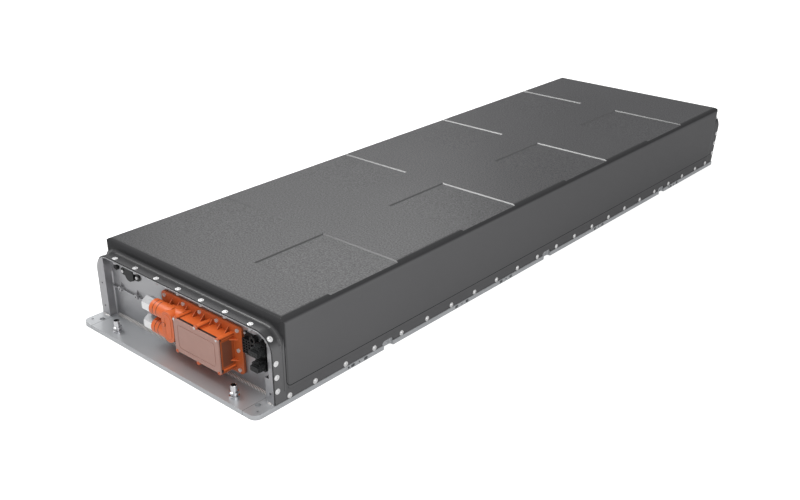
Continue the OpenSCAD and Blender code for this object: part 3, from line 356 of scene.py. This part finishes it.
def cast_aluminium():
    """Cast end frames with a fine sand grain, painted shade in their holes."""
    f = Finish("cast_aluminium", metallic=1.0)
    grain = f.noise(700, 2.0, 0.6)
    cloud = f.noise(9, 4.0)
    # Painted shade in the holes
    f.set(base_color=f.mix(f.hollow(3.5 * MM), f.mix(cloud, rgb("a2a2a4"), rgb("b3b3b5")), rgb("161617")),
          roughness=0.34 + 0.12 * cloud + 0.05 * grain)
    f.rounded(0.6 * MM)
    f.bump(grain, 0.08 * MM, 0.5)
    return f.done()


def weld_metal():
    """Overlapping ripples: bright crests with painted shade in the grooves between them."""
    f = Finish("weld_metal", metallic=0.75)
    cloud = f.noise(60, 2.0)
    lag = ((f.along("Z") - plate_top) * (math.pi / WALL_BEAD)).sine() * RIPPLE_LAG
    turn = f.along("X") * (1 / RIPPLE_PITCH) + lag
    # Painted shade in the grooves between the ripples
    shaded_groove = (turn.fraction() - 0.5).size().spread(0.22, 0.48)
    f.set(base_color=f.mix(shaded_groove, f.mix(cloud, rgb("d8d6d4"), rgb("e6e4e2")), rgb("605e5c")),
          roughness=0.26 + 0.14 * cloud + 0.2 * shaded_groove)
    f.bump(f.noise(1800, 2.0), 0.04 * MM, 0.4)
    return f.done()


def plated_steel(name, dark, light, rough, metallic=1.0):
    """Bright plating, with painted shade in its holes."""
    f = Finish(name, metallic=metallic)
    cloud = f.noise(220, 2.0)
    # Painted shade in the holes
    f.set(base_color=f.mix(f.hollow(2 * MM), f.mix(cloud, rgb(dark), rgb(light)), rgb("101010")),
          roughness=rough + 0.10 * cloud)
    f.rounded(0.2 * MM)
    f.bump(f.noise(2500, 1.0), 0.02 * MM, 0.3)
    return f.done()


def lid_screw_metal():
    """Plated screws along the lid's top, orange sealing caps on those below."""
    f = Finish("lid_screws")
    cloud = f.noise(220, 2.0)
    capped = f.along("Z").below(lid_middle)
    # Painted shade in the holes of the plated screws
    steel = f.mix(f.hollow(2 * MM), f.mix(cloud, rgb("dcdcdc"), rgb("f4f4f4")), rgb("101010"))
    f.set(base_color=f.mix(capped, steel, f.mix(cloud, rgb("c9633c"), rgb("d6744c"))),
          metallic=1 - capped, roughness=0.22 + 0.2 * capped + 0.08 * cloud)
    f.bump(cloud, 0.02 * MM, 0.3)
    return f.done()


def flange_screw_metal():
    """Plated screws with a painted highlight round the rim and a duller middle."""
    f = Finish("flange_screws", metallic=0.15)
    cloud = f.noise(220, 2.0)
    # Painted highlight: the edges round the rim painted bright
    f.set(base_color=f.mix(f.edges(2.5 * MM), rgb("c0b4ac"), f.mix(cloud, rgb("f6f6f6"), rgb("ffffff"))),
          roughness=0.26 + 0.10 * cloud)
    f.bump(cloud, 0.02 * MM, 0.3)
    return f.done()


def moulded_plastic(name, dark, light, rough, edge="", shade="", soften=0.25, ior=1.5):
    """Moulded plastic with a fine grain, with painted highlights on its edges and painted shade in its
    holes where their colours are named.
    """
    f = Finish(name, ior=ior)
    cloud = f.noise(40, 3.0)
    tone = f.mix(cloud, rgb(dark), rgb(light))
    if edge:
        # Painted highlight along the edges
        tone = f.mix(f.edges(0.8 * MM) * (0.45 + 0.35 * cloud), tone, rgb(edge))
    if shade:
        # Painted shade in the holes
        tone = f.mix(f.hollow(5 * MM), tone, rgb(shade))
    f.set(base_color=tone, roughness=rough + 0.10 * cloud)
    f.rounded(soften * MM)
    f.bump(f.noise(1500, 2.0, 0.6), PLASTIC_GRAIN, 0.5)
    return f.done()


def outlet_ring_shade(x, y):
    """Painted shade of two grooves round each cable outlet, one step and two steps from its start."""
    step = (x - outlet_start) * (1 / OUTLET_RING_STEP)
    outlet = step.above(0.5) * step.below(2.5) * y.below(flange_front - OUTLET_FOOT)
    return outlet * (step.fraction() - 0.5).size().above(0.42)


def cap_groove_shade(x, y, z):
    """Painted shade round a round button and in two oval grooves on the face of the cap."""
    middle_x, middle_z = (cap_low.x + cap_high.x) / 2, (cap_low.z + cap_high.z) / 2
    half_w, half_h = (cap_high.x - cap_low.x) / 2, (cap_high.z - cap_low.z) / 2
    from_button = length_of(x - (middle_x - BUTTON_LEFT), z - (middle_z + BUTTON_UP))
    button = from_button.near(BUTTON_RADIUS, BUTTON_LINE)
    past_straight = ((z - middle_z).size() - (half_h - half_w)).at_least(0.0)
    from_edge = half_w - length_of(x - middle_x, past_straight)
    grooves = from_edge.near(OUTER_GROOVE, GROOVE_LINE) + from_edge.near(INNER_GROOVE, GROOVE_LINE)
    return button.at_least(grooves * 0.45) * y.below(cap_low.y + CAP_FACE_DEPTH)


def orange_plastic():
    """Orange plastic, painted browner on its flange and sides as shade, with painted shade in its side
    recess, in the grooves of outlets and cap and round the lid, and painted highlights on its edges.
    """
    f = Finish("orange_plastic")
    cloud = f.noise(40, 3.0)
    x, y, z = (f.along(axis) for axis in "XYZ")
    height = (z - lid_middle).size()
    # Painted shade of the gap round the lid: a dark band on the box along the lid's edges
    gap_shade_end = f.facing("Z") * (GAP_SHADE_DEPTH_ON_TOP - GAP_SHADE_DEPTH) + (lid_high.y + GAP_SHADE_DEPTH)
    gap_shade = y.below(gap_shade_end) * x.above(lid_low.x + GAP_SHADE_INSET) * height.below(LID_HALF_HEIGHT + MARGIN)
    # Painted shade on the flange
    flange_shade = y.above(flange_front - FLANGE_ROUNDING)
    # Painted shade on the faces that look along X
    side = f.facing("X").spread(0.85, 0.95)
    # Painted shade of a recess in the side
    in_depth = y.near((lid_high.y + flange_front) / 2, RECESS_HALF_DEPTH)
    recess_shade = side * x.above(lid_high.x - RECESS_INSET) * in_depth * height.below(RECESS_HALF_HEIGHT)
    tone = f.mix(cloud, rgb("dd662b"), rgb("e87237"))
    tone = f.mix(flange_shade * 0.35, tone, rgb("955330"))
    tone = f.mix(recess_shade, f.mix(side * 0.75, tone, rgb("80401f")), rgb("6f402c"))
    # Painted highlight along the edges
    tone = f.mix(f.edges(0.6 * MM) * (0.25 + 0.35 * cloud), tone, rgb("f0a078"))
    # Painted shade in the grooves round the outlets and on the cap
    tone = f.mix(outlet_ring_shade(x, y).at_least(cap_groove_shade(x, y, z)), tone, rgb("5e2812"))
    f.set(base_color=f.mix(gap_shade, tone, rgb("1d1e1e")), roughness=0.34 + 0.10 * cloud)
    f.rounded(0.4 * MM)
    f.bump(f.noise(1500, 2.0, 0.6), PLASTIC_GRAIN, 0.5)
    return f.done()


def lid_plastic():
    """Dull red lid with orange screw lugs."""
    f = Finish("lid_plastic")
    cloud = f.noise(40, 3.0)
    lug = (f.along("Z") - lid_middle).size().above(LID_HALF_HEIGHT)
    tone = f.mix(cloud, rgb("ae8478"), rgb("b88f83"))
    f.set(base_color=f.mix(lug, tone, rgb("c8663f")), roughness=0.34 + 0.10 * cloud)
    f.rounded(0.3 * MM)
    f.bump(f.noise(1500, 2.0, 0.6), PLASTIC_GRAIN, 0.5)
    return f.done()


def gland_shell():
    """Pale gland nuts with a metallic sheen, painted greyer on top as shade."""
    f = Finish("gland_shell", metallic=0.2)
    cloud = f.noise(40, 3.0)
    # Painted shade: the tops darker than the fronts
    top = f.facing("Z").spread(0.55, 0.95)
    f.set(base_color=f.mix(top, f.mix(cloud, rgb("f2f2f2"), rgb("fbfbfb")), rgb("8c8c8e")),
          roughness=0.30 + 0.08 * cloud)
    f.rounded(0.15 * MM)
    f.bump(f.noise(1500, 2.0, 0.6), 0.02 * MM, 0.3)
    return f.done()


def soft_rubber():
    """Matt black rubber of the seals."""
    f = Finish("seal_rubber")
    cloud = f.noise(90, 2.0)
    f.set(base_color=f.mix(cloud, rgb("1a1a1a"), rgb("262626")), roughness=0.62 + 0.15 * cloud)
    f.bump(f.noise(1200, 2.0), 0.05 * MM, 0.5)
    return f.done()


def gap_pad():
    """Pale lilac gap filler with a pebbled face."""
    f = Finish("thermal_pad")
    cloud = f.noise(50, 3.0)
    f.set(base_color=f.mix(cloud, rgb("b59bb8"), rgb("c9b2cc")), roughness=0.7 + 0.1 * cloud)
    f.bump(f.cells(900), 0.08 * MM, 0.4)
    return f.done()


def cell_film():
    """Blue film round the cells, with faint upright streaks."""
    f = Finish("cell_film")
    cloud = f.noise(30, 2.0)
    f.set(base_color=f.mix(cloud, rgb("2d5f9a"), rgb("386fae")), roughness=0.28 + 0.10 * cloud)
    f.bump(f.noise(300, 2.0, at=f.stretched(1.0, 1.0, 0.2)), 0.06 * MM, 0.4)
    return f.done()


def bare_copper():
    """Bare copper with rolling streaks and brown stains."""
    f = Finish("bare_copper", metallic=1.0)
    streaks = f.noise(300, 2.0, 0.6, f.stretched(0.05, 1.0, 1.0))
    stain = f.noise(25, 4.0).spread(0.45, 0.75)
    f.set(base_color=f.mix(stain, rgb("d98a63"), rgb("a5603f")),
          roughness=0.25 + 0.12 * streaks + 0.1 * stain)
    f.bump(streaks, 0.03 * MM, 0.4)
    return f.done()


SLOT_FINISHES = {
    "plate_metal": milled_aluminium(),
    "frame_metal": cast_aluminium(),
    "weld_metal": weld_metal(),
    "cover_skin": cover_coating(),
    "seal_rubber": soft_rubber(),
    "screw_metal": plated_steel("screw_metal", "dedede", "f4f4f4", 0.26, 0.6),
    "port_metal": plated_steel("port_metal", "c8c8ca", "e2e2e4", 0.14),
    "orange_plastic": orange_plastic(),
    "lid_plastic": lid_plastic(),
    "gland_plastic": gland_shell(),
    # Black and grey plastics with painted highlights on their edges and painted shade in their holes
    "black_plastic": moulded_plastic("black_plastic", "111112", "19191a", 0.34, "5a5b5c", "040404",
                                     soften=0.1, ior=1.35),
    "grey_plastic": moulded_plastic("grey_plastic", "151617", "1e1f20", 0.36, "6c6d6e", "080808",
                                    soften=0.1, ior=1.35),
    "cell_case": cell_film(),
    "thermal_pad": gap_pad(),
    "copper": bare_copper(),
    "white_plastic": moulded_plastic("white_plastic", "dedad0", "ebe8e0", 0.42),
    "green_plastic": moulded_plastic("green_plastic", "1f5a33", "27693c", 0.42),
}


def paint(piece, finish):
    """Gives the piece that finish alone."""
    piece.data.materials.clear()
    piece.data.materials.append(finish)


for subpart in frame["record"]["subparts"]:
    paint(nodes[subpart["node"]], SLOT_FINISHES[subpart["material_slot"]])
paint(nodes["hv_lid_screws"], lid_screw_metal())
paint(nodes["hv_flange_screws"], flange_screw_metal())
paint(nodes["hv_flange_seal"], moulded_plastic("flange_gasket", "7a3a24", "8a4630", 0.6))


# Weld beads as overlapping ripples along the feet of the end walls and posts

def ripple_height(turn):
    """Height of the bead where turn counts ripples: each one rises slowly and ends in a short fall."""
    part = turn % 1.0
    if part < RIPPLE_RISE:
        return math.sin(math.pi / 2 * part / RIPPLE_RISE)
    return math.cos(math.pi / 2 * (part - RIPPLE_RISE) / (1 - RIPPLE_RISE))


def add_bead(verts, faces, x0, x1, y, side, leg, lean=0.0):
    """One flat fillet from x0 to x1 along the foot of a wall at y, on the wall's side -1 or +1."""
    corner = math.pi / 2 - lean
    steps = max(int(round((x1 - x0) / RIPPLE_PITCH * RIPPLE_STEPS)), 4)
    ring = BEAD_ARC + 2
    start = len(verts)
    for i in range(steps + 1):
        x = x0 + (x1 - x0) * i / steps
        end_fade = min(1.0, BEAD_TIP + min(i, steps - i) / RIPPLE_STEPS)
        verts.append((x, y, plate_top))
        for j in range(BEAD_ARC + 1):
            angle = corner * j / BEAD_ARC
            lag = RIPPLE_LAG * math.sin(math.pi * j / BEAD_ARC)
            flat = math.sin(corner) / (math.sin(angle) + math.sin(corner - angle))
            ripple = 1 - RIPPLE_DEPTH * (1 - ripple_height(x / RIPPLE_PITCH + lag))
            reach = leg * end_fade * flat * ripple
            verts.append((x, y + side * reach * math.cos(angle), plate_top + reach * math.sin(angle)))
    for i in range(steps):
        a, b = start + i * ring, start + (i + 1) * ring
        for j in range(ring):
            k = (j + 1) % ring
            quad = (a + j, b + j, b + k, a + k)
            faces.append(quad if side > 0 else quad[::-1])
    low = tuple(range(start, start + ring))
    high = tuple(range(start + steps * ring, start + (steps + 1) * ring))
    faces.append(low if side > 0 else low[::-1])
    faces.append(high[::-1] if side > 0 else high)


def make_weld_ripples():
    """Beads along the end walls and posts, in place of the model's plain fillets."""
    wall_front = frame_high.y - WALL_THICKNESS
    wall_rear = plate_high.y - REAR_RECESS / math.cos(REAR_LEAN)
    half = frame_high.x
    left_post, right_post = -half + POST_WIDE, half - POST_FOOT
    inner = half - POST_WIDE - REAR_BEAD_END
    verts, faces = [], []
    add_bead(verts, faces, left_post + CORNER, right_post, wall_front, -1, WALL_BEAD)
    add_bead(verts, faces, -inner, inner, wall_rear, 1, WALL_BEAD, REAR_LEAN)
    for x0, x1 in ((-half, left_post), (right_post, half)):
        add_bead(verts, faces, x0 + FOOT_BEAD_END, x1 - FOOT_BEAD_END, frame_low.y, -1, FOOT_BEAD)
    mesh = bpy.data.meshes.new("weld_ripples")
    mesh.from_pydata(verts, [], faces)
    mesh.shade_smooth()
    piece = bpy.data.objects.new("weld_ripples", mesh)
    bpy.context.scene.collection.objects.link(piece)
    paint(piece, SLOT_FINISHES["weld_metal"])
    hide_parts("weld_seams")
    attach(piece, "root")


make_weld_ripples()


# Floor, lights and camera

def make_floor():
    """A pale floor that shows white to the camera and keeps the battery's shadow."""
    corners = [(x * FLOOR_HALF, y * FLOOR_HALF, 0) for x, y in ((-1, -1), (1, -1), (1, 1), (-1, 1))]
    mesh = bpy.data.meshes.new("floor")
    mesh.from_pydata(corners, [], [(0, 1, 2, 3)])
    floor = bpy.data.objects.new("floor", mesh)
    bpy.context.scene.collection.objects.link(floor)
    material = bpy.data.materials.new("floor")
    material.use_nodes = True
    tree = Tree(material.node_tree)
    seen, glossy, through = (tree.add("ShaderNodeLightPath", output=f"Is {ray} Ray")
                             for ray in ("Camera", "Glossy", "Transmission"))
    glow = tree.mix(glossy.at_least(through), tree.mix(seen, BLACK, FLOOR_GLOW), FLOOR_GLOW_MIRRORED)
    shader = {"Base Color": FLOOR_COLOUR, "Roughness": 1.0, "Specular IOR Level": 0.0,
              "Emission Color": glow, "Emission Strength": 1.0}
    for key, value in shader.items():
        tree.feed(tree.nodes["Principled BSDF"].inputs[key], value)
    floor.data.materials.append(material)


def make_sky():
    """A grey studio that grows lighter overhead, and a white background for the camera."""
    world = bpy.data.worlds.new("studio")
    world.use_nodes = True
    bpy.context.scene.world = world
    tree = Tree(world.node_tree)
    direction = tree.add("ShaderNodeTexCoord", output="Generated")
    height = tree.add("ShaderNodeSeparateXYZ", None, {0: direction}, "Z")
    level = tree.add("ShaderNodeValToRGB", {"stops": [
        (0.0, (0.30, 0.30, 0.31, 1)), (0.3, (0.36, 0.36, 0.37, 1)),
        (0.6, (0.72, 0.72, 0.72, 1)), (1.0, (0.95, 0.95, 0.95, 1))]}, {0: height})
    camera_ray = tree.add("ShaderNodeLightPath", output="Is Camera Ray")
    tree.feed(tree.nodes["Background"].inputs["Color"], tree.mix(camera_ray, level, WHITE))


def make_lamp(name, direction, distance, size, radiance):
    """A square soft box that faces the battery's middle; its power gives that radiance."""
    data = bpy.data.lights.new(name, "AREA")
    data.shape = "SQUARE"
    data.size = size
    data.energy = radiance * math.pi * size * size
    lamp = bpy.data.objects.new(name, data)
    way = Vector(direction).normalized()
    lamp.location = way * distance + LAMP_AIM
    lamp.rotation_euler = way.to_track_quat("Z", "Y").to_euler()
    lamp.visible_camera = False
    bpy.context.scene.collection.objects.link(lamp)


def make_camera():
    """A camera that looks from CAMERA_PLACE along the azimuth and elevation, turned by the roll."""
    azimuth, elevation, roll = (math.radians(a) for a in (AZIMUTH, ELEVATION, ROLL))
    look = Vector((-math.sin(azimuth) * math.cos(elevation), math.cos(azimuth) * math.cos(elevation),
                   -math.sin(elevation)))
    right = look.cross(Vector((0, 0, 1))).normalized()
    up = right.cross(look)
    turned_right = right * math.cos(roll) + up * math.sin(roll)
    turned_up = up * math.cos(roll) - right * math.sin(roll)
    data = bpy.data.cameras.new("camera")
    data.sensor_fit = "HORIZONTAL"
    data.sensor_width = SENSOR_WIDTH
    data.lens = LENS
    data.clip_end = 200.0
    camera = bpy.data.objects.new("camera", data)
    turn = Matrix((turned_right, turned_up, -look)).transposed()
    camera.matrix_world = Matrix.Translation(CAMERA_PLACE) @ turn.to_4x4()
    bpy.context.scene.collection.objects.link(camera)
    bpy.context.scene.camera = camera


make_floor()
make_sky()
make_lamp("soft_box", (-0.53, -0.30, 0.79), 6.5, 2.5, 9.0)
make_lamp("back_light", (-0.62, 0.49, 0.62), 6.5, 3.2, 2.6)
make_lamp("side_fill", (0.74, -0.58, 0.33), 2.5, 1.4, 2.4)
make_camera()
bpy.context.scene.view_settings.view_transform = "Standard"
